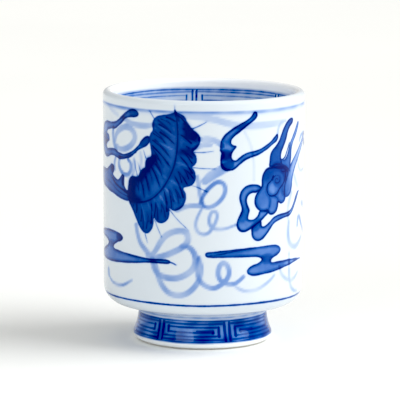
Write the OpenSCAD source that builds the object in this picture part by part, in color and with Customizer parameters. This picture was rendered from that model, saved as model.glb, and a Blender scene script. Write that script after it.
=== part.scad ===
// Tall porcelain teacup (yunomi) on a high flared foot.
// The cup is turned work, so every piece is a ring or bowl about the Z axis, drawn as a half section
// in [radius, height] and revolved. Z = 0 is the plane that the foot stands on.
// The section is drawn once, as the finished glazed surface. Everything under the glaze is the same
// section with an inset: round corners keep their centres and only change radius, so that the coats
// have one thickness all over and the pieces meet face to face.

/* [Cup] */
// Height from the table to the top of the lip
cup_height = 87.5; // [80:0.5:96]
// Outside diameter at the mouth, over the glaze
mouth_diameter = 70; // [64:0.5:76]
// How much narrower the wall is just above the shoulder than at the mouth
wall_taper = 0.8; // [0:0.1:2]
// Thickness of the rounded lip
lip_thickness = 3.2; // [2.4:0.1:4]
// Radius of the outside shoulder, where the wall turns under
shoulder_radius = 6.5; // [4:0.5:9]
// Rise of the underside from the foot out to the shoulder, in degrees
underside_slope = 13; // [8:1:18]
// Radius inside, where the wall turns into the floor
well_radius = 9; // [6:0.5:12]
// Thickness of the wall just above the well
wall_base_thickness = 3.6; // [3:0.1:5]
// Height of the floor inside, at the edge of the well
floor_height = 16.2; // [15:0.1:18]
// Fall of the floor towards the middle, in degrees
floor_slope = 3; // [0:0.5:5]

/* [Foot] */
// Height of the underside where it meets the foot
foot_height = 11.6; // [10.5:0.1:13]
// Diameter of the neck of the foot, under the cup
foot_neck_diameter = 44.8; // [42:0.2:47]
// Widest diameter of the foot
foot_flare_diameter = 48.3; // [47.5:0.1:50]
// Radius of the rolled edge at the bottom of the foot
foot_roll_radius = 2.2; // [1.8:0.1:2.6]
// Width of the flat ring that the cup stands on
rest_width = 1.9; // [1.5:0.1:2.5]
// Radius of the bead of slip in the angle of the foot
bead_radius = 1.2; // [0.8:0.1:1.6]
// Height of the ceiling of the hollow under the cup
recess_height = 10.3; // [10.1:0.1:10.8]

/* [Luting] */
// Height of the trimmed top of the foot ring
joint_height = 9.4; // [8.8:0.1:9.6]
// Thickness of the layer of slip
slip_thickness = 0.5; // [0.3:0.1:0.6]
// Depth of the scored grooves that key the slip
key_depth = 0.4; // [0.2:0.1:0.6]

/* [Glaze and painted bands] */
// Thickness of the glaze
glaze = 0.3; // [0.2:0.05:0.4]
// Thickness of the cobalt under the glaze
paint = 0.08; // [0.05:0.01:0.12]
// Depth of the line under the lip, below the top of the lip
lip_line_depth = 3.7; // [3:0.1:6]
// Width of the line under the lip
lip_line_width = 0.6; // [0.3:0.05:1]
// Height of the line above the shoulder, over the foot
base_line_rise = 5.8; // [5:0.1:9]
// Width of the line above the shoulder
base_line_width = 0.45; // [0.3:0.05:1]
// Depth of the painted band inside the mouth, below the top of the lip
mouth_band_depth = 3.7; // [2.5:0.1:6]
// Width of the painted band inside the mouth
mouth_band_width = 8.8; // [5:0.2:12]
// Height above the table where the painted band of the foot starts
foot_band_height = 2.7; // [2.5:0.1:4]

/* [Hidden] */
$fn = 180;

arc_steps = 16;          // straight pieces in a round corner of the section
porcelain = [0.95, 0.95, 0.94];
glazed = [0.90, 0.93, 0.96];
cobalt = [0.12, 0.27, 0.62];
slip_grey = [0.86, 0.85, 0.82];

function polar(radius, angle) = radius * [cos(angle), sin(angle)];
function arc(centre, radius, from, to) =
    [for (i = [0 : arc_steps]) centre + polar(radius, from + (to - from) * i / arc_steps)];
function reversed(list) = [for (i = [len(list) - 1 : -1 : 0]) list[i]];

// Lip and shoulder: two rounds of the outside, with one straight tangent between them as the wall.
lip_radius = lip_thickness / 2;
lip_centre = [mouth_diameter / 2 - lip_radius, cup_height - lip_radius];
neck_radius = foot_neck_diameter / 2;
shoulder_r = (mouth_diameter - wall_taper) / 2 - shoulder_radius;
shoulder_end = shoulder_r + shoulder_radius * sin(underside_slope);
shoulder_centre = [shoulder_r, foot_height + (shoulder_end - neck_radius) * tan(underside_slope)
                               + shoulder_radius * cos(underside_slope)];
wall_run = lip_centre - shoulder_centre;
wall_angle = atan2(wall_run[1], wall_run[0]) - acos((shoulder_radius - lip_radius) / norm(wall_run));

// Bead and flare of the foot: both touch the neck at the height of the bead's centre.
bead_centre = [neck_radius + bead_radius,
               foot_height - bead_radius * (1 - sin(underside_slope)) / cos(underside_slope)];
glaze_line_angle = -75;  // where the glaze is wiped off the rolled edge
bevel_height = 0.38;     // height of that line above the table
roll_centre = [foot_flare_diameter / 2 - foot_roll_radius,
               bevel_height - foot_roll_radius * sin(glaze_line_angle)];
flare_drop = bead_centre[1] - roll_centre[1];
flare_angle = 2 * atan((foot_flare_diameter / 2 - neck_radius) / flare_drop);
flare_radius = flare_drop / sin(flare_angle) - foot_roll_radius;
flare_centre = [neck_radius + flare_radius, bead_centre[1]];

// Well of the cup: the inside wall is the straight line that touches the lip and the well.
well_centre = [(mouth_diameter - wall_taper) / 2 - wall_base_thickness - well_radius,
               floor_height + well_radius * cos(floor_slope)];
inside_run = lip_centre - well_centre;
inside_angle = atan2(inside_run[1], inside_run[0]) + acos(-(lip_radius + well_radius) / norm(inside_run));
floor_middle = well_centre + polar(well_radius, floor_slope - 90)
               - (well_centre[0] + well_radius * sin(floor_slope)) * [1, tan(floor_slope)];

// Hollow of the foot
recess_lean = 7;         // lean of its side from upright, in degrees
recess_round = 2.2;      // radius between its side and its ceiling
recess_foot = 0.6;       // height where its glaze starts
rest_bevel = 0.3;        // bevel at both edges of the resting ring
foot_band_gap = 0.25;    // between the band of the foot and the neck
rest_outer = roll_centre[0] + (foot_roll_radius - glaze) * cos(glaze_line_angle) - rest_bevel;
rest_inner = rest_outer - rest_width;
recess_centre = [rest_inner - rest_bevel - glaze - (recess_height - recess_round) * tan(recess_lean)
                 - recess_round, recess_height - recess_round];
recess_wall_length = (recess_centre[1] + recess_round * sin(recess_lean) - recess_foot) / cos(recess_lean);

// Keys of the slip, set across the ring of clay between the hollow and the neck, so that none breaks out
joint_inner = recess_centre[0] + recess_round + glaze;
joint_width = neck_radius - glaze - joint_inner;
key_places = [0.3, 0.7]; // shares of that width, from the hollow outwards
key_width = joint_width / 3;

// The four stretches of the section. Inset 0 is the finished surface, and inset glaze is the clay.
function outside_path(inset) = concat(
    arc(bead_centre, bead_radius + inset, 180, 90 + underside_slope),
    arc(shoulder_centre, shoulder_radius - inset, underside_slope - 90, wall_angle),
    arc(lip_centre, lip_radius - inset, wall_angle, 90));
function inside_path(inset) = concat(
    arc(lip_centre, lip_radius - inset, 90, inside_angle),
    arc(well_centre, well_radius + inset, inside_angle - 180, floor_slope - 90),
    [floor_middle - [0, inset / cos(floor_slope)]]);
function foot_path(inset) = concat(
    arc(roll_centre, foot_roll_radius - inset, glaze_line_angle, flare_angle),
    arc(flare_centre, flare_radius + inset, 180 + flare_angle, 180));
function recess_path(inset) = concat(
    [[0, recess_height + inset]],
    arc(recess_centre, recess_round + inset, 90, recess_lean),
    [recess_centre + polar(recess_round + inset, recess_lean)
     + recess_wall_length * [sin(recess_lean), -cos(recess_lean)]]);

// A coat between two insets of one stretch
module coat(outer_points, inner_points) {
    rotate_extrude() polygon(concat(outer_points, reversed(inner_points)));
}

// The part of a coat between two heights
module band(outer_points, inner_points, low, high) {
    rotate_extrude() intersection() {
        polygon(concat(outer_points, reversed(inner_points)));
        translate([0, low]) square([mouth_diameter, high - low]);
    }
}

// Half section of all the clay: cup, slip and foot together
module clay_section() {
    polygon(concat(
        recess_path(glaze),
        [[rest_inner, 0], [rest_outer, 0]],
        foot_path(glaze),
        outside_path(glaze),
        inside_path(glaze)));
}

// Half section of the layer of slip, with its keys in the scored grooves above and below it
module slip_section() {
    middle = joint_height + slip_thickness / 2;
    reach = slip_thickness / 2 + key_depth;
    intersection() {
        clay_section();
        union() {
            translate([0, joint_height]) square([neck_radius + 2, slip_thickness]);
            for (share = key_places)
                translate([joint_inner + share * joint_width, middle])
                    polygon([[-key_width / 2, 0], [0, -reach], [key_width / 2, 0], [0, reach]]);
        }
    }
}

// Half section of the clay between two heights, without the slip
module clay_between(low, high) {
    difference() {
        intersection() {
            clay_section();
            translate([0, low]) square([mouth_diameter, high - low]);
        }
        slip_section();
    }
}

module body() {
    color(porcelain) rotate_extrude() clay_between(joint_height + slip_thickness, cup_height);
}

module foot_ring() {
    color(porcelain) rotate_extrude() clay_between(0, joint_height);
}

module luting_slip() {
    color(slip_grey) rotate_extrude() slip_section();
}

module outer_glaze() {
    color(glazed) difference() {
        coat(outside_path(0), outside_path(glaze));
        painted_lip_line();
        painted_base_line();
    }
}

module inner_glaze() {
    color(glazed) difference() {
        coat(inside_path(0), inside_path(glaze));
        painted_mouth_band();
    }
}

module foot_glaze() {
    color(glazed) difference() {
        coat(foot_path(0), foot_path(glaze));
        painted_foot_band();
    }
}

module recess_glaze() {
    color(glazed) coat(recess_path(0), recess_path(glaze));
}

module painted_lip_line() {
    middle = cup_height - lip_line_depth;
    color(cobalt) band(outside_path(glaze - paint), outside_path(glaze),
                       middle - lip_line_width / 2, middle + lip_line_width / 2);
}

module painted_base_line() {
    middle = foot_height + base_line_rise;
    color(cobalt) band(outside_path(glaze - paint), outside_path(glaze),
                       middle - base_line_width / 2, middle + base_line_width / 2);
}

module painted_mouth_band() {
    top = cup_height - mouth_band_depth;
    color(cobalt) band(inside_path(glaze - paint), inside_path(glaze), top - mouth_band_width, top);
}

module painted_foot_band() {
    top = bead_centre[1] - foot_band_gap;
    color(cobalt) band(foot_path(glaze - paint), foot_path(glaze), foot_band_height, top);
}

body();
foot_ring();
luting_slip();
outer_glaze();
inner_glaze();
foot_glaze();
recess_glaze();
painted_lip_line();
painted_base_line();
painted_mouth_band();
painted_foot_band();
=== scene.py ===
"""Looks of a tall blue-and-white teacup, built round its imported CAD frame.

The glaze coats of the CAD model are replaced by finer coats of the same section. The painting under them is
brushwork: strokes and washes are laid out on the unrolled wall in millimetres, and their distance fields are
stored on the coats' vertices. The glaze material turns those fields into cobalt.
"""
import math
from functools import partial

import bpy
import numpy as np
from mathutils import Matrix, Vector


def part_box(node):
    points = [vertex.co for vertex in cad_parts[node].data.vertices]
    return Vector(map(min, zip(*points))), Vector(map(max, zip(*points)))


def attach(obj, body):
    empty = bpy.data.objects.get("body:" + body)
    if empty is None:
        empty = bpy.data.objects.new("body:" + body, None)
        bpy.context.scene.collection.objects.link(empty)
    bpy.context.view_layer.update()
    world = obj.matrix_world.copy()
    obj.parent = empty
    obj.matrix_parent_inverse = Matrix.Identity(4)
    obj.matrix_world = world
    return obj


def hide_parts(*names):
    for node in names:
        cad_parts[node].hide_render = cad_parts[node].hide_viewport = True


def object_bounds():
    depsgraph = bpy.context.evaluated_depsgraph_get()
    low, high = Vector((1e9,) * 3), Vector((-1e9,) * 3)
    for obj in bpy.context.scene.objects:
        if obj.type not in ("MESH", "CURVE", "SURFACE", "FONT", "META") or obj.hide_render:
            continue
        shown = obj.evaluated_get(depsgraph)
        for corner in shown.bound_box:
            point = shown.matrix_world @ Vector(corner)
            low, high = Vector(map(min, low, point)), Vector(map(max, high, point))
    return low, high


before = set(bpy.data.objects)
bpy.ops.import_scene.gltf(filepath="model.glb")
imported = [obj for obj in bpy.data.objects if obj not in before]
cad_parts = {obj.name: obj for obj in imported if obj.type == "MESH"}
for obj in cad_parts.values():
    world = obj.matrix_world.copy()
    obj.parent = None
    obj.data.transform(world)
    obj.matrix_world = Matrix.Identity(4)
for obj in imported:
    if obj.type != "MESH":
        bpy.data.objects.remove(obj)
cad_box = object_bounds()
MM = 0.001
scene = bpy.context.scene

# ---------- section
# The finished surface's half section in millimetres, with the CAD model's dimensions.
CUP_HEIGHT = cad_box[1].z / MM
MOUTH_RADIUS = cad_box[1].x / MM
LIP_RADIUS = MOUTH_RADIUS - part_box("inner_glaze")[1].x / MM
WALL_TAPER = 0.4
SHOULDER_RADIUS = 6.5
UNDERSIDE_SLOPE = math.radians(13)
WELL_RADIUS = 9.0
WALL_BASE = 3.6
FLOOR_HEIGHT = 16.2
FLOOR_SLOPE = math.radians(3)
FOOT_HEIGHT = 11.6
NECK_RADIUS = 22.4
FLARE_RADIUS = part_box("foot_glaze")[1].x / MM
ROLL_RADIUS = 2.2
BEAD_RADIUS = 1.2
GLAZE_LINE = math.radians(-75)
GLAZE_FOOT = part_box("foot_glaze")[0].z / MM
GLAZE = 0.3
FLOOR_HUB = 0.8    # radius where the floor's rings end and one face closes them


def arc(centre, radius, start, end, step=math.radians(4)):
    """Points [r, z] on an arc of the section."""
    count = max(2, int(abs(end - start) / step) + 1)
    return [(centre[0] + radius * math.cos(a), centre[1] + radius * math.sin(a))
            for a in np.linspace(start, end, count)]


LIP_CENTRE = (MOUTH_RADIUS - LIP_RADIUS, CUP_HEIGHT - LIP_RADIUS)
shoulder_r = MOUTH_RADIUS - WALL_TAPER - SHOULDER_RADIUS
shoulder_end = shoulder_r + SHOULDER_RADIUS * math.sin(UNDERSIDE_SLOPE)
SHOULDER_CENTRE = (shoulder_r, FOOT_HEIGHT + (shoulder_end - NECK_RADIUS) * math.tan(UNDERSIDE_SLOPE)
                   + SHOULDER_RADIUS * math.cos(UNDERSIDE_SLOPE))
BEAD_CENTRE = (NECK_RADIUS + BEAD_RADIUS,
               FOOT_HEIGHT - BEAD_RADIUS * (1 - math.sin(UNDERSIDE_SLOPE)) / math.cos(UNDERSIDE_SLOPE))
WELL_CENTRE = (MOUTH_RADIUS - WALL_TAPER - WALL_BASE - WELL_RADIUS,
               FLOOR_HEIGHT + WELL_RADIUS * math.cos(FLOOR_SLOPE))
ROLL_CENTRE = (FLARE_RADIUS - ROLL_RADIUS, GLAZE_FOOT - ROLL_RADIUS * math.sin(GLAZE_LINE))


def tangent_angle(low, low_radius, high, high_radius, side):
    """Angle of the normal of the straight line that touches two rounds of the section."""
    run = (high[0] - low[0], high[1] - low[1])
    return math.atan2(run[1], run[0]) + side * math.acos((low_radius - high_radius) / math.hypot(*run))


WALL_ANGLE = tangent_angle(SHOULDER_CENTRE, SHOULDER_RADIUS, LIP_CENTRE, LIP_RADIUS, -1)
INSIDE_ANGLE = tangent_angle(WELL_CENTRE, -WELL_RADIUS, LIP_CENTRE, LIP_RADIUS, 1)


def outside_section(inset):
    """From the neck of the foot up to the crest of the lip."""
    return (arc(BEAD_CENTRE, BEAD_RADIUS + inset, math.pi, math.pi / 2 + UNDERSIDE_SLOPE)
            + arc(SHOULDER_CENTRE, SHOULDER_RADIUS - inset, UNDERSIDE_SLOPE - math.pi / 2, WALL_ANGLE)
            + arc(LIP_CENTRE, LIP_RADIUS - inset, WALL_ANGLE, math.pi / 2))


def inside_section(inset):
    """From the crest of the lip down the inside wall to the middle of the floor."""
    edge = arc(WELL_CENTRE, WELL_RADIUS + inset, INSIDE_ANGLE - math.pi, FLOOR_SLOPE - math.pi / 2)
    drop = (edge[-1][0] - FLOOR_HUB) * math.tan(FLOOR_SLOPE)
    return (arc(LIP_CENTRE, LIP_RADIUS - inset, math.pi / 2, INSIDE_ANGLE) + edge
            + [(FLOOR_HUB, edge[-1][1] - drop)])


def foot_section(inset):
    """From the glaze's edge on the rolled foot up to the neck."""
    drop = BEAD_CENTRE[1] - ROLL_CENTRE[1]
    angle = 2 * math.atan((FLARE_RADIUS - NECK_RADIUS) / drop)
    radius = drop / math.sin(angle) - ROLL_RADIUS
    return (arc(ROLL_CENTRE, ROLL_RADIUS - inset, GLAZE_LINE, angle)
            + arc((NECK_RADIUS + radius, BEAD_CENTRE[1]), radius + inset, math.pi + angle, math.pi))


class Profile:
    """A stretch of the section, looked up by the distance along it."""

    def __init__(self, points):
        points = np.array(points)
        step = np.hypot(*np.diff(points, axis=0).T)
        keep = np.concatenate([[True], step > 1e-6])
        self.points = points[keep]
        self.along = np.concatenate([[0], np.cumsum(step[keep[1:]])])
        self.length = self.along[-1]
        tangent = np.gradient(self.points, self.along, axis=0)
        tangent /= np.linalg.norm(tangent, axis=1)[:, None]
        self.normals = np.stack([tangent[:, 1], -tangent[:, 0]], 1)

    def at(self, t):
        """Radius and height of the points at distances t."""
        return (np.interp(t, self.along, self.points[:, 0]), np.interp(t, self.along, self.points[:, 1]))

    def normal(self, t):
        """Unit normals (outward, up) at distances t."""
        n = np.stack([np.interp(t, self.along, self.normals[:, k]) for k in (0, 1)], 1)
        return n / np.linalg.norm(n, axis=1)[:, None]


# ---------- brushwork
def waves(x, y, size, seed):
    """Smooth noise from -1 to 1 on the plane, with features of about the given size."""
    count, crest = 7, 4.2    # waves added up, and the sum that counts as a full crest
    rng = np.random.default_rng(seed)
    total = np.zeros(np.shape(x))
    for angle, phase, stretch in zip(rng.uniform(0, math.pi, count), rng.uniform(0, 2 * math.pi, count),
                                     rng.uniform(0.6, 1.6, count)):
        total += np.sin((x * math.cos(angle) + y * math.sin(angle)) * 2 * math.pi * stretch / size + phase)
    return np.clip(total / crest, -1, 1)


def smooth(edge0, edge1, value):
    """Smoothstep from 0 at edge0 to 1 at edge1."""
    t = np.clip((value - edge0) / (edge1 - edge0), 0, 1)
    return t * t * (3 - 2 * t)


def curve(points, closed=False, step=0.45):
    """Catmull-Rom curve through the points, as a dense polyline."""
    p = np.array(points, float)
    if closed:
        p = np.concatenate([p[-1:], p, p[:2]])
    else:
        p = np.concatenate([2 * p[:1] - p[1:2], p, 2 * p[-1:] - p[-2:-1]])
    out = []
    for a, b, c, d in zip(p, p[1:], p[2:], p[3:]):
        count = max(2, int(np.hypot(*(c - b)) / step) + 1)
        t = np.linspace(0, 1, count, endpoint=False)[:, None]
        out.append(0.5 * (2 * b + (c - a) * t + (2 * a - 5 * b + 4 * c - d) * t ** 2
                          + (3 * b - a - 3 * c + d) * t ** 3))
    out.append(p[-2][None, :])
    return np.concatenate(out)


class Painting:
    """Cobalt brushwork on an unrolled surface. x runs round the cup and y up it, in millimetres."""
    FAR = 9.0             # distance stored where no mark is near
    REACH = 2.5           # how far outside a mark its distances are worked out
    BATCH = 24            # pieces of a path measured at once
    LINE_WANDER = 0.08    # mm by which the edge of a stroke wanders
    RIM_SHIFT = 0.6       # share of half its width by which a wash's outline lies inside the edge
    RIM_WANDER = 0.35     # share of its width by which that outline wanders
    VEIL_WANDER = 0.25    # share by which the tone of a veil wanders
    OVERLAP = 0.75        # share of the weaker tone that is lost where veils cross

    def __init__(self, round_length):
        self.round_length = round_length
        self.marks = []
        self.put = list       # moves the points of the motif that is being drawn

    def draw(self, motif, put):
        """Draws a motif with its points moved by put."""
        self.put = put
        motif(self)
        self.put = list

    def _mark(self, kind, path, half_width, tone, soft):
        self.marks.append((kind, path, half_width, tone, soft, path.min(0), path.max(0)))

    def stroke(self, points, width, tone, ends=(0.5, 0.5)):
        """A crisp brush line. Its width changes to the given share at each end."""
        path = curve(self.put(points))
        self._mark("line", path, self._taper(path, width, ends), tone, 0)

    def veil(self, points, width, tone, ends=(0.8, 0.8), soft=0.35):
        """A pale stroke with a soft edge. One with a tone below 0 thins what it crosses."""
        path = curve(self.put(points))
        self._mark("veil", path, self._taper(path, width, ends), tone, soft)

    def wash(self, points, tone, line, line_tone):
        """A filled shape with a brushed outline of the width and tone given last."""
        path = curve(self.put(points), closed=True)
        self._mark("wash", path, np.full(len(path), line / 2), (tone, line_tone), 0)

    def pool(self, points, tone, soft):
        """A soft-edged place where more cobalt has gathered, or less where the tone is below 0."""
        path = curve(self.put(points), closed=True)
        self._mark("pool", path, np.zeros(len(path)), tone, soft)

    @staticmethod
    def _taper(path, width, ends):
        t = np.linspace(0, 1, len(path))
        start = smooth(0, 0.25, t) * (1 - ends[0]) + ends[0]
        end = smooth(1, 0.75, t) * (1 - ends[1]) + ends[1]
        return width / 2 * start * end

    @staticmethod
    def _distance(x, y, path, half):
        """Distance from the points to a polyline, less its half width."""
        best = np.full(x.shape, 1e9)
        a, b = path[:-1], path[1:]
        ab = b - a
        length2 = np.maximum((ab ** 2).sum(1), 1e-9)
        for first in range(0, len(a), Painting.BATCH):
            s = slice(first, first + Painting.BATCH)
            px = x[:, None] - a[None, s, 0]
            py = y[:, None] - a[None, s, 1]
            t = np.clip((px * ab[None, s, 0] + py * ab[None, s, 1]) / length2[None, s], 0, 1)
            d = np.hypot(px - t * ab[None, s, 0], py - t * ab[None, s, 1])
            d -= half[:-1][None, s] + t * (half[1:] - half[:-1])[None, s]
            best = np.minimum(best, d.min(1))
        return best

    @staticmethod
    def _inside(x, y, path):
        """Which points lie inside a closed polyline."""
        count = np.zeros(x.shape, int)
        for (x0, y0), (x1, y1) in zip(path, np.roll(path, -1, 0)):
            if y0 != y1:
                crosses = (y0 > y) != (y1 > y)
                count += crosses & (x < (x1 - x0) * (y - y0) / (y1 - y0) + x0)
        return count % 2 == 1

    def fields(self, x, y):
        """The painting at the points: distances to edges in mm (negative inside), and tones of cobalt."""
        f = {"line_edge": np.full(x.shape, self.FAR), "line_tone": np.full(x.shape, 1.0),
             "wash_edge": np.full(x.shape, self.FAR), "wash_tone": np.full(x.shape, 0.5),
             "bleed": np.zeros(x.shape), "crisp": np.full(x.shape, self.FAR),
             "soft": np.full(x.shape, self.FAR)}
        width_noise = waves(x, y, 7, 3)
        tone_noise = waves(x, y, 11, 5)
        for kind, path, half, tone, soft, low, high in self.marks:
            middle = (low[0] + high[0]) / 2
            half_round = self.round_length / 2
            wrapped = (x - middle + half_round) % self.round_length - half_round + middle
            reach = self.REACH + half.max()
            near = np.nonzero((wrapped > low[0] - reach) & (wrapped < high[0] + reach)
                              & (y > low[1] - reach) & (y < high[1] + reach))[0]
            if not len(near):
                continue
            px, py = wrapped[near], y[near]
            if kind in ("line", "veil"):
                d = self._distance(px, py, path, half)
            else:
                d = self._distance(px, py, path, np.zeros(len(path)))
                d = np.where(self._inside(px, py, path), -d, d)
            if kind == "line":
                d = d - self.LINE_WANDER * width_noise[near]
                self._lay(f, "line", near, d, tone)
            elif kind == "wash":
                self._lay(f, "wash", near, d, tone[0])
                rim = half[0] * (1 + self.RIM_WANDER * width_noise[near])
                self._lay(f, "line", near, np.abs(d + half[0] * self.RIM_SHIFT) - rim, tone[1])
            else:
                laid = tone * smooth(soft, -soft, d) * (1 + self.VEIL_WANDER * tone_noise[near])
                under = f["bleed"][near]
                both = np.maximum(np.minimum(laid, under), 0) if kind == "veil" else 0
                f["bleed"][near] = under + laid - self.OVERLAP * both
                f["soft"][near] = np.minimum(f["soft"][near], np.abs(d))
        return f

    @staticmethod
    def _lay(f, layer, near, d, tone):
        edge = f[layer + "_edge"]
        closer = d < edge[near]
        f[layer + "_tone"][near[closer]] = tone
        edge[near] = np.minimum(edge[near], d)
        f["crisp"][near] = np.minimum(f["crisp"][near], np.abs(d))


# ---------- motifs
def placed(points, x, about, y=0.0, size=1.0, turn=0.0, flip=False):
    """Points moved, turned in degrees, scaled and mirrored about a point of the wall."""
    c, s = math.cos(math.radians(turn)), math.sin(math.radians(turn))
    out = []
    for px, py in points:
        dx, dy = (px - about[0]) * (-size if flip else size), (py - about[1]) * size
        out.append((about[0] + x + dx * c - dy * s, about[1] + y + dx * s + dy * c))
    return out


def along(points, count):
    """Points spread evenly along a polyline."""
    p = np.array(points, float)
    run = np.concatenate([[0], np.cumsum(np.hypot(*np.diff(p, axis=0).T))])
    where = np.linspace(0, run[-1], count)
    return np.stack([np.interp(where, run, p[:, k]) for k in (0, 1)], 1)


def plume(art):
    """A big leaf with lobes, a dark midrib and fans of veins."""
    outline = [
        (-10.3, 83.4), (-8.6, 83.2), (-6.8, 82.3), (-5.6, 80.2), (-4.1, 78.1), (-2.4, 76.9), (-1.2, 75.4),
        (-1.3, 73.4), (-2.4, 71.6), (-3.5, 70.5), (-2.6, 69), (-2.4, 67.2), (-3.1, 65.9), (-4, 65.1),
        (-3.1, 63.8), (-2.7, 62), (-3, 60.2), (-4.3, 58.8), (-7, 57.9), (-6.3, 56), (-6.2, 54), (-7, 52),
        (-8.7, 50.5), (-10.6, 50), (-12.5, 50.9), (-12.2, 49), (-12.6, 47.3), (-13.8, 46), (-15.5, 45.5),
        (-17.1, 46), (-18.3, 47.6), (-18.4, 45.4), (-19, 43.4), (-20.5, 41.8), (-22.3, 41.7), (-24, 43.1),
        (-25.8, 45.8), (-27.6, 48.8), (-29.6, 51.8), (-30, 54.5), (-29.9, 57), (-29.4, 59.3), (-28, 60.5),
        (-26, 60.5), (-24.9, 60.9), (-24.1, 62.5), (-22.9, 63.6), (-21.9, 64.1), (-21.7, 65.8), (-21, 67.3),
        (-19.4, 68), (-19.2, 69.4), (-19.6, 71.5), (-20.1, 74), (-19.5, 75.9), (-18.7, 77), (-18.9, 79),
        (-18.4, 80.6), (-17, 81.8), (-14.6, 82.5), (-12, 82.9)
    ]
    midrib = [(-10.2, 84.3), (-9.7, 82), (-9.2, 78), (-9.2, 74), (-9.5, 70), (-10.4, 65.5), (-12.2, 61.4),
              (-14.8, 57.4), (-18, 54.3), (-21.5, 52.5), (-25.5, 52), (-30, 53.4)]
    art.wash(outline, tone=0.64, line=0.4, line_tone=0.78)
    art.stroke(midrib, 0.85, 1.05, ends=(0.7, 1.3))
    art.stroke([(-10.1, 84), (-9.6, 82.4), (-8.6, 80.6)], 1.3, 1.0, ends=(0.3, 0.5))
    art.veil([(-12, 74), (-12.6, 68), (-14.4, 63), (-17.4, 58.8), (-21.4, 55.6)], 3.6, -0.045, soft=1.6)
    art.veil([(-11, 61), (-13.4, 56.4), (-16.4, 53)], 2.6, -0.05, soft=1.4)
    gaps = [[(-4.2, 65), (-6.6, 65.8), (-9.6, 66.6)], [(-7.2, 58), (-9.4, 59.2), (-12, 60.4)],
            [(-9.6, 53.4), (-11.6, 55.6), (-13.8, 57.6)], [(-12.7, 50.8), (-14.4, 53), (-16.2, 55.4)],
            [(-15.8, 50.4), (-17, 52), (-18.4, 53.8)], [(-18.4, 47.4), (-19.4, 49.8), (-20.8, 52.2)],
            [(-22, 45.6), (-22.8, 48.6), (-23.6, 51.4)], [(-17, 73), (-14, 72.2), (-10.4, 70.6)],
            [(-16.6, 78.6), (-13.6, 77.4), (-10.2, 75.2)], [(-18.8, 65), (-16, 62.6), (-13.2, 61)]]
    for gap in gaps:
        art.veil(gap, 0.7, -0.14, ends=(0.4, 0.4), soft=0.45)
    right_edge = [(-8.6, 82), (-5.4, 79.3), (-2, 76), (-1.9, 73.4), (-3.6, 70.6), (-3, 67.4), (-4.1, 65),
                  (-3.4, 61.5), (-5, 59), (-7.2, 57.4), (-7, 54), (-9, 51.2), (-12.2, 50.6), (-13.2, 47.2),
                  (-16, 46.3), (-18.6, 47.4), (-19.8, 43.2), (-22.3, 42.6), (-25.6, 46.6), (-28.6, 51)]
    left_edge = [(-11.5, 82.3), (-15, 81.7), (-18, 79.5), (-18.1, 77), (-19.3, 74.5), (-18.9, 71),
                 (-18.6, 68.2), (-20.8, 66.4), (-21.4, 64.2), (-23.6, 62.6), (-25, 60.6), (-28, 59.6),
                 (-29.3, 56.6)]
    rib = curve(midrib)
    gathers = (0.08, 0.4, 0.2)                 # how far out the veins of a pair meet, by turns
    lengths = (1.0, 0.86, 0.94, 0.74, 0.97)    # how far out the veins end, by turns
    widths, tones, bend = (0.66, 0.5, 0.82), (1.1, 0.98), 0.035
    for edge, reach, lead, side in ((right_edge, 42, 0, 1), (left_edge, 34, 2, -1)):
        tips = along(edge, reach)
        roots = along(rib, reach)
        for k in range(1, reach - 1):
            first = (k - 1) // 2 * 2 + 1
            root = roots[min(first + lead, reach - 1)]
            start = root + ((tips[first] + tips[first + 1]) / 2 - root) * gathers[first // 2 % 3]
            end = root + (tips[k] - root) * lengths[k % 5]
            bow = np.array([root[1] - end[1], end[0] - root[0]]) * bend * side
            vein = [start, (start + end) / 2 + bow, end]
            art.stroke(vein, widths[k % 3], tones[k % 2], ends=(0.4, 1.1))
    art.pool([(-6.6, 75.4), (-7, 77.5), (-7.2, 79.4), (-5.6, 80), (-3.6, 78), (-1.6, 76), (-1.4, 74.6),
              (-3, 74.2), (-5, 74.4)], 0.34, 1.2)
    art.pool([(-9, 69.6), (-8, 71), (-5, 71.4), (-3.1, 69.9), (-3.2, 68.8), (-6, 69)], 0.26, 0.9)
    art.pool([
        (-17.4, 68.6), (-16.9, 67), (-18.6, 64.6), (-20.8, 62), (-23, 59.6), (-25, 58.4), (-26.2, 56.2),
        (-25.8, 54.6), (-23.6, 53.2), (-25, 51.6), (-29, 51.2), (-30.2, 54), (-30, 57.4), (-29, 60),
        (-26, 60.9), (-24.4, 61.6), (-23.2, 63.6), (-21.9, 64.6), (-21.3, 67.4), (-19, 68.4)
    ], 0.34, 1.1)
    art.pool([(-5, 64.5), (-3, 62.6), (-3.4, 60), (-5.5, 58.9), (-8, 59.4), (-7, 62)], 0.12, 0.9)
    hairs = [[(-4, 78.1), (-1.5, 79.2), (1, 80.5)], [(-3.5, 70.2), (0, 70.2), (3.4, 70.6)],
             [(-4, 65), (0, 64.7), (4, 64.6)], [(-7, 59.2), (-3, 58.6), (1.4, 56.8)],
             [(-12, 50.2), (-9, 46.9), (-5, 43.4)], [(-19.2, 50.4), (-17.6, 45.8), (-15.2, 40.8)],
             [(-24, 46), (-21.9, 41.2), (-20.9, 38.3)], [(-10.2, 83.4), (-10.3, 86)],
             [(-18.2, 81.2), (-20, 83.6)], [(-25.4, 61), (-26.2, 63.5), (-26.5, 66)],
             [(-23.9, 62.6), (-25.2, 65.5)], [(-21.6, 67.4), (-22.6, 70)]]
    for hair in hairs:
        art.stroke(hair, 0.28, 0.5, ends=(1.3, 0.5))


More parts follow.
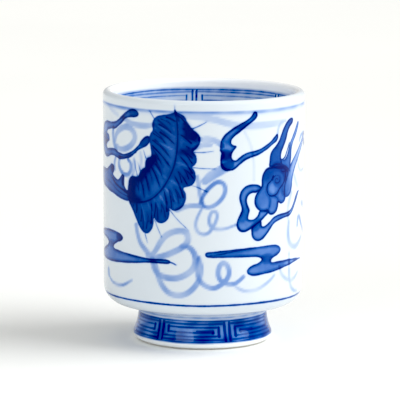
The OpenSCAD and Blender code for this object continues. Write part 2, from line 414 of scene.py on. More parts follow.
def double_ribbon(art):
    """A ribbon that turns back on itself, with a dark blob at each end."""
    art.wash([
        (-24.9, 82.4), (-26.3, 83.4), (-29, 83.2), (-32, 81.7), (-35, 79.6), (-38, 78.2), (-42, 77.8),
        (-46, 77.6), (-49.4, 76.4), (-51.6, 73.4), (-51.6, 69.8), (-50, 67), (-47.5, 65.6), (-44, 65.6),
        (-41, 66.6), (-38, 66.4), (-35, 65.9), (-31.5, 66.3), (-28, 67.6), (-25, 69.9), (-23, 70.7),
        (-21, 71.8), (-19.9, 73.4), (-20.4, 74.8), (-21.9, 74.5), (-23.6, 73.1), (-24.9, 71.4), (-27, 69.7),
        (-29.7, 68.2), (-32.5, 67.6), (-35.5, 67.9), (-38.4, 68.8), (-42, 68.5), (-45, 68.3), (-46.3, 69.6),
        (-44.5, 70.8), (-43, 71.4), (-43.4, 73), (-45.3, 73.7), (-44.3, 75), (-41, 75.6), (-38.3, 76),
        (-36, 77), (-33.5, 78.6), (-31.5, 80.1), (-29, 80.8), (-26.6, 81), (-25.2, 81.5)
    ], 0.49, 0.64, 0.92)
    art.pool([(-25, 82.3), (-27, 83.3), (-29.5, 82.6), (-28.5, 81), (-26, 81)], 0.17, 0.6)
    art.pool([(-20, 73.6), (-21, 74.8), (-23.4, 73.3), (-24, 71.6), (-22, 71.2)], 0.24, 0.6)
    art.stroke([(-26, 69), (-29.7, 67.2), (-33, 66.6), (-37, 67)], 0.6, 1.05, ends=(0.6, 0.5))
    art.stroke([(-30, 82.2), (-34, 79.8), (-38, 78)], 0.6, 0.95, ends=(0.6, 0.5))
    art.pool([(-44, 71), (-47, 73.5), (-50, 72), (-48, 69)], 0.35, 1.0)


def collar(art):
    """The stalk of the leaf, in a small curled cloud."""
    art.wash([
        (-29.6, 52.1), (-33, 52.1), (-36, 52.7), (-40, 53.6), (-45, 54.4), (-51, 55.6), (-56, 58),
        (-54, 60.4), (-49.5, 61), (-46, 61), (-43.4, 62), (-41.2, 63.3), (-39.3, 62.9), (-38.9, 61.4),
        (-39.9, 60), (-38.4, 58.9), (-36.2, 58.4), (-34.7, 59.2), (-33.4, 60.4), (-32.3, 60), (-32.6, 58.2),
        (-32.1, 56.4), (-31, 55.3), (-29.4, 55)
    ], 0.57, 0.66, 0.95)
    art.stroke([(-41.6, 59.6), (-38.5, 57.4), (-35, 56), (-29.5, 54.2)], 0.85, 1.15, ends=(0.7, 1.1))
    art.stroke([(-47, 57.6), (-41, 56.6), (-36, 54.6), (-30, 53.2)], 0.5, 1.0, ends=(0.3, 1.0))
    art.pool([(-39, 62.6), (-40.5, 63), (-42, 61.8), (-40.4, 60.4)], 0.45, 0.5)
    art.pool([(-32.8, 60), (-33.8, 58.6), (-33.4, 56.8), (-32.3, 57.2), (-32.2, 59)], 0.45, 0.4)


def cloud(art):
    """A flat cloud in the shape of a Z, with a long tail."""
    art.wash([
        (0.9, 35.1), (1.5, 35.9), (5, 36.2), (10, 36.6), (16, 36.9), (22, 37.1), (27, 37.1), (29.6, 36.6),
        (31, 35.5), (30.7, 34.4), (29.4, 33.6), (27.7, 33), (26.3, 32.2), (26.4, 31.2), (28.4, 31), (33, 31),
        (38, 30.9), (43, 30.4), (47, 29.9), (42, 29.8), (37, 29.2), (32, 28.6), (27, 27.9), (22, 27.5),
        (18.5, 27.4), (16.6, 28), (16, 29), (16.6, 30), (18.2, 30.8), (20.4, 31.4), (22, 32.4), (21.4, 33.3),
        (19.4, 33.8), (15, 34), (9, 34.1), (4, 34.2), (1.6, 34.4)
    ], 0.47, 0.6, 0.95)
    art.stroke([(2.5, 34.9), (6, 35.2), (10, 35.9), (15, 36.5), (22, 36.9)], 0.6, 0.95, ends=(0.5, 0.7))
    art.pool([(22, 33.5), (24, 34.2), (26.5, 33.6), (26.8, 32), (25.4, 31), (23, 31.4)], 0.25, 0.8)
    art.pool([(35, 32), (48, 31), (48, 29), (40, 28.4), (35, 28.4)], -0.13, 1.2)


def left_cloud(art):
    """The same cloud drawn longer, with its tail thinning to a hair."""
    art.wash([
        (-33.3, 38.5), (-33.9, 39.4), (-35.6, 40), (-38.5, 40.3), (-43, 40.3), (-48, 39.9), (-53, 39.2),
        (-58, 38.2), (-53, 37.6), (-49, 37.3), (-46, 36.9), (-44, 36.1), (-44.4, 35), (-47, 33.8),
        (-50.5, 32.6), (-52.6, 31.4), (-51.5, 30.2), (-48, 29.7), (-43, 29.6), (-37, 29.9), (-31, 30.4),
        (-25, 31), (-20, 31.6), (-15, 31.7), (-12.4, 31.8), (-11.9, 32.5), (-13.4, 33), (-16, 32.9),
        (-20, 32.8), (-25, 33.1), (-30, 33.5), (-34.5, 33.8), (-38, 34), (-39.6, 34.6), (-39.1, 35.6),
        (-37, 36.8), (-34.6, 37.5)
    ], 0.48, 0.64, 1.0)
    art.pool([(-33.4, 38.5), (-34.4, 39.5), (-37, 39.6), (-37, 38), (-35, 37.4)], 0.4, 0.6)
    art.pool([(-39.5, 36.6), (-42.5, 36.8), (-44, 35.6), (-42, 34.6), (-39.5, 35)], 0.2, 0.9)
    art.stroke([(-12.5, 32.4), (-11, 32), (-9.6, 31.4)], 0.4, 0.8, ends=(1.0, 0.4))


def curl_ribbon(art):
    """A ribbon bent like a hook, dark at its waist."""
    art.wash([
        (18.2, 83.4), (19.2, 83.1), (19.3, 82), (18.3, 80.8), (16.5, 79.7), (14.5, 78.3), (12.8, 77.1),
        (11, 75.8), (9.8, 74.5), (9.6, 73.2), (10.4, 72.4), (11.5, 72), (10.7, 71), (9.9, 69.8), (9.7, 68.5),
        (10.2, 67.5), (11.4, 67.2), (12.6, 68), (14.2, 69.1), (16, 69.8), (19, 70.2), (22, 71.1), (25, 72.6),
        (27.3, 74.3), (28.4, 75.1), (28.9, 74.2), (28.1, 72.9), (26, 71.7), (23.5, 70.3), (20.5, 69),
        (17.5, 68.2), (15, 67.4), (13, 66), (11.5, 64.8), (9.8, 64), (8, 63.9), (6.7, 64.7), (6, 66.3),
        (6.2, 68), (6.7, 69.4), (6, 70.6), (5.8, 72), (6.1, 74), (7.2, 75.7), (8.8, 77.1), (11, 78.6),
        (13.5, 79.9), (15.8, 81), (17.2, 82.2)
    ], 0.46, 0.62, 1.0)
    art.pool([(6.2, 70.6), (8.4, 70.8), (9.8, 70), (9.4, 68.6), (9, 67.6), (7.4, 67.2), (6.4, 68)], 0.4, 0.8)
    art.pool([(7.4, 66.6), (9.4, 67), (12.4, 66.8), (11, 65.2), (8.4, 64.9)], -0.06, 0.8)
    art.pool([(7, 74), (10.5, 76.6), (13, 79), (15, 79.6), (13.5, 77.9), (10.4, 75.4), (8.6, 72.6)],
             0.12, 0.8)
    art.pool([(17.4, 82.6), (18.8, 83.2), (19, 82), (17.6, 80.9)], 0.1, 0.5)
    art.stroke([(14.6, 80.3), (11, 78.2), (8, 76.2), (6.2, 73.4), (6, 70.8)], 0.5, 1.05, ends=(0.4, 1.2))
    art.stroke([(6.4, 69.4), (6.2, 67), (7.4, 64.8), (10, 64.2), (12.6, 65.8)], 0.66, 1.05, ends=(0.8, 0.5))


def blossom(art):
    """A lobed flower with a spiral heart, two long petals above and a ribbon below."""
    art.wash([(25.5, 64.2), (25.1, 66.2), (25.3, 68.2), (26.3, 69.9), (28, 71.2), (29.5, 72.7), (30.8, 75),
              (32.3, 77.2), (34, 78.9), (36, 79.8), (37.6, 79.6), (37.4, 78.4), (35.7, 77.2), (34.3, 75.3),
              (33.3, 73), (32.2, 71), (31, 69.2), (30.5, 67.2), (31, 65.4), (31.4, 63)], 0.57, 0.62, 1.05)
    art.wash([(30.6, 66.2), (32.6, 66), (34, 67.2), (35, 69.2), (36.1, 71.4), (37.7, 73.4), (39.3, 75.2),
              (40.7, 77), (42, 78.2), (42.7, 77.5), (41.6, 75.4), (39.8, 73.3), (38.1, 71.4), (37, 69.2),
              (36.8, 66.8), (36.3, 64.3), (35.6, 62.4), (31, 62)], 0.5, 0.52, 0.9)
    art.stroke([(31, 66), (32.8, 66.8), (34.2, 69), (35.6, 71.6)], 0.55, 1.0, ends=(0.6, 0.4))
    art.wash([
        (25.5, 64), (23.5, 63.5), (22.2, 62), (21.7, 60), (21.7, 58), (20.4, 56.4), (19.1, 54.6),
        (18.8, 52.5), (19.6, 50.7), (21.2, 49.4), (23.2, 49.2), (24.3, 49.2), (25.2, 48), (26.8, 47.8),
        (28.4, 48.6), (29.2, 50.2), (29.5, 51.7), (31, 51.1), (32.6, 51.5), (33.4, 52.8), (33, 54.6),
        (33.2, 57), (34.4, 59.4), (35.2, 61.4), (32, 63.4), (29, 64)
    ], 0.5, 0.64, 1.05)
    art.wash([(31.4, 55), (33.4, 53.2), (35.2, 53.2), (36.7, 54.2), (37.5, 56), (37.9, 58.2), (38.8, 60.8),
              (40.6, 63.2), (42.8, 65.4), (45.2, 67.6), (48, 70), (51, 72.6), (50.2, 73.6), (47, 71.6),
              (43.6, 69.4), (40.6, 67.2), (38, 65.2), (36, 63), (34, 60.4), (32, 58)], 0.42, 0.46, 0.8)
    art.pool([(31.6, 55), (33.6, 53.6), (36, 55), (36.6, 58), (34.4, 60), (32.4, 58)], 0.08, 0.9)
    spiral = [(28.7 + (0.35 + 0.21 * a) * math.cos(a * 1.05 + 0.4),
               59.4 + (0.3 + 0.19 * a) * math.sin(a * 1.05 + 0.4)) for a in np.linspace(0, 8.6, 17)]
    art.stroke(spiral, 0.44, 1.05, ends=(1.2, 1.3))
    art.stroke([(26.8, 61), (25.8, 59.4), (24.4, 58.4), (23.9, 56.6), (24.6, 54.8), (26.4, 54.1),
                (28.6, 54.6), (30, 56.2), (31.8, 57.6), (33.2, 59.6), (33.4, 61.6)],
               0.72, 1.05, ends=(1.1, 0.9))
    art.stroke([(24.6, 55), (25.4, 53), (25.3, 51), (24.6, 49.4)], 0.6, 0.8, ends=(0.8, 0.5))
    art.stroke([(29.6, 52), (28.8, 53.3), (27, 54)], 0.55, 0.8, ends=(0.8, 0.5))
    art.stroke([(33.6, 53), (33, 54.4), (31.2, 55.6)], 0.5, 0.75, ends=(0.8, 0.5))
    art.pool([(26.4, 64.4), (29, 64.6), (33, 63.8), (35.4, 62.2), (34.2, 60.6), (33.4, 58.6), (32.4, 58.6),
              (31.6, 60.8), (29.6, 61.8), (27.4, 61.6), (26, 62.8)], 0.2, 0.8)
    art.stroke([(25.4, 64.2), (28, 64.9), (31, 64.4), (34, 63.2), (36, 61.8)], 0.95, 0.88, ends=(0.7, 0.7))
    art.pool([(22.2, 61.6), (23.4, 63.4), (25.6, 63.2), (26.4, 61.4), (25, 59.6), (22.8, 59.2)], 0.2, 1.0)
    art.pool([(27, 58.4), (27.4, 60.8), (29.6, 61.4), (31.6, 60), (31, 57.6), (29, 56.8)], 0.12, 0.7)
    art.pool([(24.8, 56.6), (26.2, 58), (27.6, 57), (27, 55)], -0.08, 0.7)
    art.pool([(26, 65), (26.3, 69), (29, 71), (30.6, 70), (29.8, 66.6), (30.4, 64.6)], 0.1, 0.8)
    art.pool([(36.2, 70.8), (38.6, 70.8), (41.5, 73.2), (44, 78), (42, 80), (39, 78), (36.8, 74.4)],
             -0.16, 1.2)
    art.pool([(37.8, 60), (41, 62.5), (46, 67), (53, 72.5), (50, 75), (44, 71.4), (38.6, 67), (37.6, 63)],
             -0.13, 1.2)
    art.veil([(42.6, 64.4), (44, 61.8), (46, 60.7), (49, 60.6), (53, 61)], 1.0, 0.2)
    # ribbon that hangs below the flower
    art.wash([
        (21.4, 57.1), (20.2, 58.3), (17.6, 58.7), (15, 58.1), (13.5, 56.6), (12.9, 54.5), (13.3, 52.5),
        (13.9, 50.5), (13.3, 48.8), (12.3, 47), (12, 45), (12.9, 43.3), (14.6, 42.7), (16.4, 43.2),
        (18.2, 44.2), (20.4, 45.4), (22.6, 46.9), (24.6, 48.7), (22.8, 49.4), (20.9, 49.4), (20.2, 48),
        (18.9, 46.9), (17.4, 46.6), (16.2, 47), (16.3, 48.3), (16.6, 50), (15.9, 51.6), (15.5, 53.5),
        (16.2, 55.2), (17.8, 56), (19.4, 56)
    ], 0.46, 0.68, 1.0)
    art.wash([
        (17.8, 43.8), (17.7, 42.4), (17.9, 40.9), (18.9, 39.7), (20.5, 39.2), (22.3, 39.8), (24, 41.2),
        (25.7, 43), (27.5, 44.6), (30, 45.5), (33, 46), (36, 46.3), (38, 47.3), (40, 49.5), (42, 51.8),
        (43.9, 53.9), (42.3, 53.7), (40.3, 51.6), (38.5, 49.4), (36.5, 47.9), (33, 47.4), (30, 47.3),
        (27.2, 46.6), (25, 45), (23, 43.9), (21.7, 44.2), (21.4, 45.8), (19.6, 45.2)
    ], 0.43, 0.6, 1.0)
    art.pool([(17.4, 43.6), (19, 46), (21.4, 46.6), (21.4, 44), (19.4, 42.4)], 0.14, 0.8)
    art.pool([(12.8, 48), (14.6, 50.4), (15.6, 50), (15.4, 46.6), (13.4, 45.6)], 0.08, 0.7)
    art.pool([(36.6, 45.8), (41, 50), (45, 54.5), (43, 55), (39, 51.8), (36, 48.8)], -0.15, 1.2)


def pale_strokes(art, strokes):
    """Veils given as points, width and tone, all widened and strengthened alike."""
    wider, stronger = 1.3, 1.35
    for points, width, tone in strokes:
        art.veil(points, width * wider, tone * stronger)


def vines(art):
    """Pale scrolling vines behind the motifs."""
    pale_strokes(art, [
        ([(-19.5, 33.6), (-17.5, 36), (-15.7, 38.8), (-13.6, 41.2), (-10.5, 42.8), (-7.4, 43.2), (-5.6, 42),
          (-5.5, 39.6), (-7.4, 37.6), (-10.5, 35.9), (-14, 34.4), (-18, 33.6), (-21, 34)], 1.7, 0.2),
        ([(-26, 44), (-25.3, 41), (-24, 38), (-21.5, 35.5), (-19, 33.2), (-17.3, 30), (-16.4, 27),
          (-15, 24.2), (-12.8, 22), (-10, 21), (-7, 21.2), (-4.4, 22.6), (-2.2, 25), (-0.9, 28), (-0.6, 31),
          (-1.4, 33.6)], 1.6, 0.2), ([(-19, 33), (-18.4, 30.2), (-16.6, 28), (-13.4, 26.9), (-9.8, 26.8),
          (-6.4, 28), (-3.6, 30.2), (-2.5, 33.2), (-3.3, 36), (-5.2, 37.8), (-7.6, 37.9)], 1.7, 0.22),
        ([(-1.4, 34.2), (-2.2, 31.4), (-1.9, 28.4), (-0.6, 25.8), (1.5, 24.2), (4, 23.7), (6.2, 24.6),
          (8, 26), (9.2, 28.2), (8.9, 30.8), (7.4, 32.3), (5.9, 31.2), (5.4, 28.6), (6.2, 26.4), (8.4, 25.1),
          (11, 24.9), (13, 25.9), (14.6, 27.2)], 1.4, 0.24),
        ([(10.4, 25.3), (12.5, 23.4), (15, 22.3), (18, 22.1), (21, 22.7), (24, 24), (26.6, 25.5),
          (28, 26.6)], 1.0, 0.13), ([(-0.5, 51), (-2, 48), (-2.6, 45.5), (-2, 43.3), (-0.2, 42.2),
          (1.8, 42.6), (3.2, 44.2), (4.4, 46.4), (4.9, 48.6), (4.2, 50), (3, 49.8), (2.2, 48), (2.3, 45.8),
          (3.4, 44.3), (5.4, 43.9), (8, 44.1), (11.5, 45.2)], 1.0, 0.2),
        ([(-2, 62), (-1.6, 58.4), (-1, 55), (-0.2, 52.6)], 1.1, 0.2),
        ([(-1, 53), (0.4, 56), (2.4, 58.4), (4.8, 60), (6.8, 59.6), (7.7, 57.6), (6.9, 55), (4.9, 52.8),
          (2.4, 51.5), (0.4, 51.8), (-0.6, 53.8)], 1.2, 0.28),
        ([(-9.4, 50), (-6, 51.6), (-2.6, 52), (0.6, 51.6)], 1.3, 0.2),
        ([(0.6, 60.4), (3, 62.4), (6, 64), (9.4, 66)], 2.6, 0.2),
        ([(-7, 82.4), (-4, 82.3), (0, 82), (5, 81), (9, 79.8), (13, 79), (18, 78.7), (24, 78.8),
          (31, 79)], 1.9, 0.12), ([(-1, 74.6), (1.6, 74.8), (4.4, 74), (6.4, 72.4)], 1.6, 0.18),
        ([(-3.4, 71.2), (-0.5, 72.6), (2.5, 72.8)], 1.4, 0.16),
        ([(28.6, 75), (29.2, 77.4), (30.6, 79), (33, 79.4)], 0.9, 0.16),
        ([(14.5, 77), (17, 72), (18.2, 66), (18.4, 60)], 0.7, 0.08),
        ([(-32.5, 80), (-29, 78.8), (-25, 78.3), (-21, 78.4), (-18.6, 79)], 1.6, 0.15),
        ([(-44.5, 83.6), (-40, 82), (-36, 80.8)], 1.3, 0.1),
        ([(-38.2, 71.6), (-37, 74.2), (-34.3, 76.2), (-30.8, 77.2), (-27.7, 76.2), (-26.6, 74), (-28, 71.6),
          (-30.8, 69.9), (-34.3, 69.2), (-37.2, 70.2)], 1.7, 0.2),
        ([(-39.4, 76), (-39.6, 73.4), (-38.8, 70.6), (-36.8, 68.6)], 1.4, 0.24),
        ([(-34.9, 66.2), (-35.4, 64), (-34.4, 62), (-32.2, 60.8), (-30, 61), (-28.6, 62.6), (-28.6, 64.8),
          (-30, 66)], 1.2, 0.26),
        ([(-27.8, 61), (-26.8, 63.6), (-27, 66.6)], 1.0, 0.18),
        ([(-24.4, 63), (-23.6, 66), (-23.9, 69)], 1.0, 0.14),
        ([(-37.6, 66), (-38.6, 64), (-38.2, 61.8)], 1.1, 0.2),
        ([(-44.6, 26.6), (-44.2, 24.9), (-43, 23.6), (-40.4, 22.4), (-37, 21.9), (-33.8, 22.1),
          (-31.4, 22.9), (-29.6, 23.8), (-28.2, 24.5)], 0.9, 0.2),
        ([(-44.4, 26.2), (-44.1, 24.4)], 1.9, 0.2),
    ])


def vine_ends(art):
    """Pale loops and hooks in the gap to the right of the flower."""
    pale_strokes(art, [
        ([(30.6, 29.2), (31.8, 26.6), (34.2, 24.7), (37.2, 23.6), (40.6, 23.9), (44, 25.4)], 1.1, 0.14),
        ([(36.4, 33), (36.6, 28), (37, 24), (38.2, 21.2), (40.4, 19.6), (43.4, 18.9)], 1.2, 0.16),
        ([(35.9, 44), (35.5, 40.6), (36.4, 37.2), (38.8, 35.3), (42, 34.9), (45.6, 36),
          (48.6, 37.4)], 1.5, 0.15),
        ([(37.6, 54), (35.9, 51), (35.4, 47.6), (35.8, 44)], 1.3, 0.12),
        ([(39.4, 60), (41, 57.4), (43, 55.4)], 1.2, 0.12),
        ([(44.2, 71.2), (45.6, 72.7), (48.4, 73.3), (52, 73)], 1.2, 0.3),
        ([(43, 42), (43.6, 44.6), (45.4, 44.4), (47.8, 42), (51, 39.6), (55, 38.4)], 1.3, 0.3),
        ([(48, 49.2), (51, 48.2), (55, 48)], 1.6, 0.16),
    ])


def lines_round(art, heights):
    """Lines right round, each given as height, width, tone and softness, which is 0 for a crisp one."""
    count, rise, swings = 45, 0.09, 5    # points, and the height and number of the line's swings
    for height, width, tone, soft in heights:
        x = np.linspace(-art.round_length / 2, art.round_length / 2, count)
        wobble = rise * np.sin(2 * math.pi * x * swings / art.round_length + height)
        points = list(zip(x, height + wobble))
        if soft:
            art.veil(points, width, tone, ends=(1, 1), soft=soft)
        else:
            art.stroke(points, width, tone, ends=(1, 1))


def fret_panel(art, left, right, low, high, pitch, line, tone, rng, flip):
    """A rectangular spiral, broad and dark where the brush runs upright and fine where it lies."""
    narrowing, last_run, slant = 1.8, 0.6, 0.12  # pitches lost at each side, share of the last run, mm
    broader, darker = 1.7, 1.25
    turns = [(left, low)]
    x0, x1, y0, y1 = left, right, low, high
    for _ in range(2):
        turns += [(x1, y0), (x1, y1), (x0, y1), (x0, y0 + pitch)]
        x0, x1, y0, y1 = x0 + pitch * narrowing, x1 - pitch * narrowing, y0 + pitch, y1 - pitch
        turns += [(x1, y0)]
    turns += [(x1, y1), (x0 + (x1 - x0) * last_run, y1)]
    if flip:
        turns = [(left + right - x, y) for x, y in turns]
    for a, b in zip(turns, turns[1:]):
        middle = ((a[0] + b[0]) / 2, (a[1] + b[1]) / 2 + rng.uniform(-slant, slant))
        upright = a[0] == b[0]
        art.stroke([a, middle, b], line * rng.uniform(0.85, 1.35) * (broader if upright else 1),
                   tone * rng.uniform(0.8, 1.1) * (darker if upright else 1), ends=(1.25, 0.85))


def fret_band(art, panels, first, low, high, pitch, line, bar_gap, tone, bar_tone):
    """A band of fret panels between double bars, which stand a little past it."""
    past = 0.3
    rng = np.random.default_rng(panels)
    span = art.round_length / panels
    for k in range(panels):
        bar = first + k * span
        for side in (-1, 1):
            x = bar + side * bar_gap / 2
            lean = rng.uniform(0.0, 0.35)
            art.stroke([(x + lean, low - past), (x, (low + high) / 2), (x - lean, high + past)],
                       line * rng.uniform(1.5, 2.1), bar_tone, ends=(1.1, 1))
        fret_panel(art, bar + bar_gap / 2, bar + span - bar_gap / 2, low, high, pitch, line, tone, rng,
                   flip=k % 2 == 1)


def front(points):
    """The motifs were drawn a little too wide for the wall, and more so on the left."""
    left, right = 0.962, 0.982
    return [(x * (left if x < 0 else right), y) for x, y in points]


def wall_painting():
    """The motifs round the wall, with lines under the lip, above the shoulder and at the neck."""
    art = Painting(2 * math.pi * MOUTH_RADIUS)
    for motif in (vines, vine_ends, double_ribbon, collar, plume, left_cloud, cloud, curl_ribbon, blossom):
        art.draw(motif, front)
    # the far side, in the same hand
    far_side = [(vines, dict(x=108, about=(-12, 50), flip=True)),
                (plume, dict(x=108, about=(-12, 50), flip=True)),
                (curl_ribbon, dict(x=49, y=-3, about=(14, 73), flip=True)),
                (curl_ribbon, dict(x=-81, y=-5, about=(14, 73), flip=True)),
                (blossom, dict(x=-113, about=(28, 60), turn=-6, size=0.96, flip=True)),
                (cloud, dict(x=62, y=-2, about=(24, 33), flip=True)),
                (cloud, dict(x=-110, y=-1, about=(24, 33)))]
    for motif, place in far_side:
        art.draw(motif, partial(placed, **place))
    lip, base, neck = CUP_HEIGHT - 4.0, 17.5, 10.4
    lines_round(art, [(lip + 0.1, 1.0, 0.28, 0.35), (lip - 0.6, 1.1, 0.1, 0.6), (base, 0.66, 0.78, 0)])
    darker_lip = [(-62, lip + 0.1), (-30, lip + 0.15), (-8, lip + 0.1), (14, lip + 0.15)]
    art.veil(darker_lip, 0.9, 0.34, ends=(0.4, 0.2))
    art.veil([(-120, neck), (0, neck), (120, neck)], 2.1, 0.27, ends=(1, 1), soft=0.3)
    return art


def mouth_painting():
    """A band of key fret on a pale ground, between two lines, on the inside wall below the lip."""
    art = Painting(2 * math.pi * MOUTH_RADIUS)
    top, bottom = CUP_HEIGHT - 3.9, CUP_HEIGHT - 11.6
    middle, width = (top + bottom) / 2 + 0.3, top - bottom + 0.9
    lines_round(art, [(middle, width, 0.13, 0.35), (top - 0.4, 1.0, 0.06, 0.3), (top, 0.45, 0.38, 0),
                      (bottom, 0.5, 0.42, 0)])
    fret_band(art, panels=6, first=math.pi * MOUTH_RADIUS + 3.7, low=bottom + 1.1, high=top - 0.9, pitch=1.3,
              line=0.36, bar_gap=1.5, tone=0.34, bar_tone=0.85)
    return art


def foot_painting():
    """A band of key fret on a blue ground, between two lines, round the foot."""
    art = Painting(2 * math.pi * FLARE_RADIUS)
    lines_round(art, [(6.25, 7.7, 0.44, 0.3), (10.5, 1.4, 0.08, 0.4), (9.9, 0.5, 0.27, 0),
                      (2.75, 0.4, 0.2, 0)])
    fret_band(art, panels=6, first=-16.1, low=3.5, high=8.95, pitch=1.25,
              line=0.46, bar_gap=1.9, tone=0.31, bar_tone=0.38)
    return art


# ---------- coats
def leaves_of(columns, rows, depth, wants_split):
    """Cells of a quadtree as (column, row) in units of the finest cell, grouped by size."""
    size = 2 ** depth
    grid = np.meshgrid(np.arange(columns), np.arange(rows), indexing="ij")
    cells = np.stack(grid, -1).reshape(-1, 2) * size
    groups = []
    while len(cells):
        split = wants_split(cells + size / 2, size) if size > 1 else np.zeros(len(cells), bool)
        groups.append((size, cells[~split]))
        size //= 2
        quarters = np.array([[0, 0], [size, 0], [0, size], [size, size]])
        cells = (cells[split][:, None, :] + quarters[None]).reshape(-1, 2)
    return groups


COLUMNS = 96    # coarse cells round the cup
DEPTH = 3       # how many times a cell may be split in four


def painted_coat(name, section, art, curved):
    """A glaze coat with the painting's fields on its vertices: fine where the painting has edges.

    Between the heights low and high of each row of curved, its cells are at most finest units wide.
    """
    front, back = Profile(section(0)), Profile(section(GLAZE))
    cell = art.round_length / COLUMNS
    rows = max(2, round(front.length / cell))
    fine = 2 ** DEPTH
    across, up = COLUMNS * fine, rows * fine
    crisp_reach, soft_reach = 0.85, 0.9    # cells nearer to an edge than this many widths are split
    soft_cell = 2                          # finest cell that a soft edge needs

    def place(ix, iy):
        return ix * art.round_length / across - art.round_length / 2, iy * front.length / up

    def wants_split(centres, size):
        x, t = place(centres[:, 0], centres[:, 1])
        z = front.at(t)[1]
        f = art.fields(x, z)
        mm = size * cell / fine
        want = (f["crisp"] < mm * crisp_reach) | ((f["soft"] < mm * soft_reach) & (size > soft_cell))
        for low, high, finest in curved:
            want |= (z > low - mm / 2) & (z < high + mm / 2) & (size > finest)
        return want

    groups = leaves_of(COLUMNS, rows, DEPTH, wants_split)
    used = np.zeros((across, up + 1), bool)
    for size, cells in groups:
        for dx, dy in ((0, 0), (size, 0), (size, size), (0, size)):
            used[(cells[:, 0] + dx) % across, cells[:, 1] + dy] = True
    index = np.full(used.shape, -1)
    index[used] = np.arange(used.sum())
    ix, iy = np.nonzero(used)
    x, t = place(ix, iy)
    r, z = front.at(t)
    angle = x / art.round_length * 2 * math.pi
    normal = front.normal(t)

    def spin(radius, height, turn):
        return np.stack([radius * np.sin(turn), -radius * np.cos(turn), height], 1)

    verts = spin(r, z, angle) * MM
    vert_normals = spin(normal[:, 0], normal[:, 1], angle)
    faces = []
    for size, cells in groups:
        steps = range(size)
        for cx, cy in cells.tolist():
            ring = [(cx + k, cy) for k in steps] + [(cx + size, cy + k) for k in steps]
            ring += [(cx + size - k, cy + size) for k in steps] + [(cx, cy + size - k) for k in steps]
            faces.append([i for i in (index[a % across, b] for a, b in ring) if i >= 0])

    # the side against the clay, and the edges
    turns = np.arange(COLUMNS) / COLUMNS * 2 * math.pi - math.pi
    first = len(verts)
    for place_back, normal_back in zip(back.points, back.normals):
        ring = spin(*np.outer(place_back, np.ones(COLUMNS)), turns) * MM
        ring_normals = -spin(*np.outer(normal_back, np.ones(COLUMNS)), turns)
        verts = np.concatenate([verts, ring])
        vert_normals = np.concatenate([vert_normals, ring_normals])
    last = first + (len(back.points) - 1) * COLUMNS
    for row in range(first, last, COLUMNS):
        for c in range(COLUMNS):
            a, b = row + c, row + (c + 1) % COLUMNS
            faces.append([a, a + COLUMNS, b + COLUMNS, b])
    shaped_faces = len(faces)
    closes = front.points[-1][0] <= FLOOR_HUB
    for c in range(COLUMNS):
        run = [index[(c * fine + k) % across, 0] for k in range(fine + 1)]
        a, b = first + c, first + (c + 1) % COLUMNS
        faces.append([a, b] + [i for i in run if i >= 0][::-1])
        if not closes:
            run = [index[(c * fine + k) % across, up] for k in range(fine + 1)]
            a, b = last + c, last + (c + 1) % COLUMNS
            faces.append([b, a] + [i for i in run if i >= 0])
    if closes:
        faces.append([i for i in (index[k, up] for k in range(across)) if i >= 0])
        faces.append([last + c for c in range(COLUMNS)][::-1])

    mesh = bpy.data.meshes.new(name)
    mesh.from_pydata(verts.tolist(), [], faces)
    mesh.shade_smooth()
    loop_normals = np.zeros((len(mesh.loops), 3))
    loop_vertex = np.empty(len(mesh.loops), int)
    mesh.loops.foreach_get("vertex_index", loop_vertex)
    shaped = sum(len(f) for f in faces[:shaped_faces])
    loop_normals[:shaped] = vert_normals[loop_vertex[:shaped]]
    fields = art.fields(x, z)
    for key in ("line_edge", "line_tone", "wash_edge", "wash_tone", "bleed"):
        values = np.zeros(len(verts))
        values[:len(ix)] = fields[key]
        if key.endswith("edge"):
            values[len(ix):] = Painting.FAR
        mesh.attributes.new(key, "FLOAT", "POINT").data.foreach_set("value", values)
    mesh.normals_split_custom_set(loop_normals.tolist())
    mesh.validate()
    mesh.update()
    piece = bpy.data.objects.new(name, mesh)
    scene.collection.objects.link(piece)
    return piece


